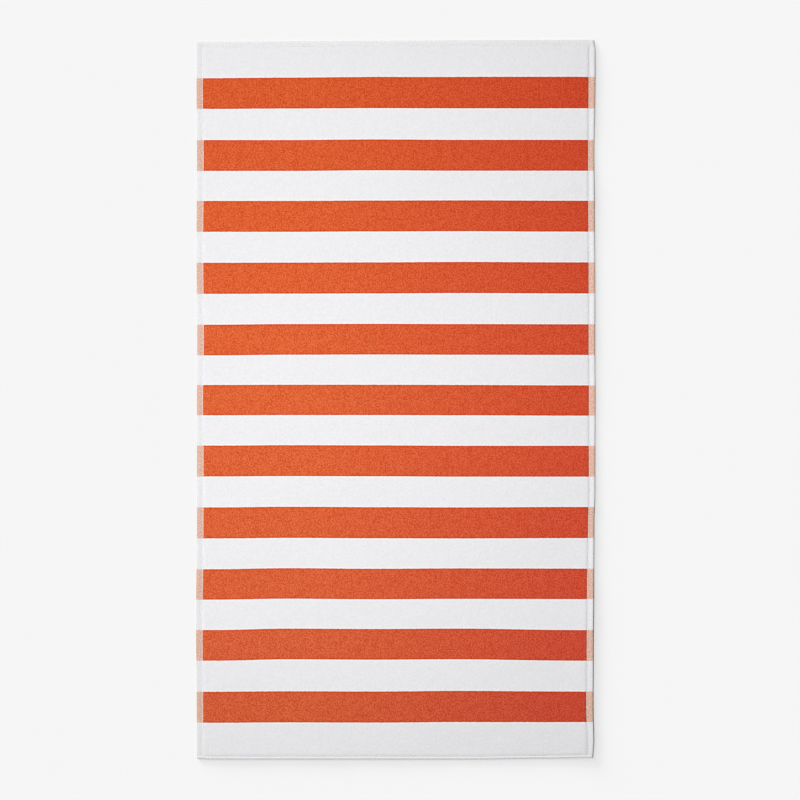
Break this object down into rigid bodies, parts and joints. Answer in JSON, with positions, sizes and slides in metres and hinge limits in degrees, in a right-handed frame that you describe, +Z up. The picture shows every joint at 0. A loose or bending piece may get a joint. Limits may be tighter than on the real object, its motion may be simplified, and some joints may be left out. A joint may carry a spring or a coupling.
{
  "type": "beach towel",
  "caption": "Flat rectangular beach towel of cotton pile cloth with broad crosswise stripes in orange and white and narrow hems.",
  "frame": {"origin": "middle of the towel's underside, on the surface it lies on", "axes": "+X across the towel, towards its right side as seen from above; +Y along the towel; +Z up, out of the pile face"},
  "size_m": [1.0002, 1.8032, 0.005],
  "materials": {
    "striped_pile": "short, even cotton pile in crosswise stripes of orange and white, matt and slightly soft at the edges, with a flat-woven band down each side"
  },
  "bodies": {
    "root": {"towel": "striped_pile"}
  },
  "joints": []
}
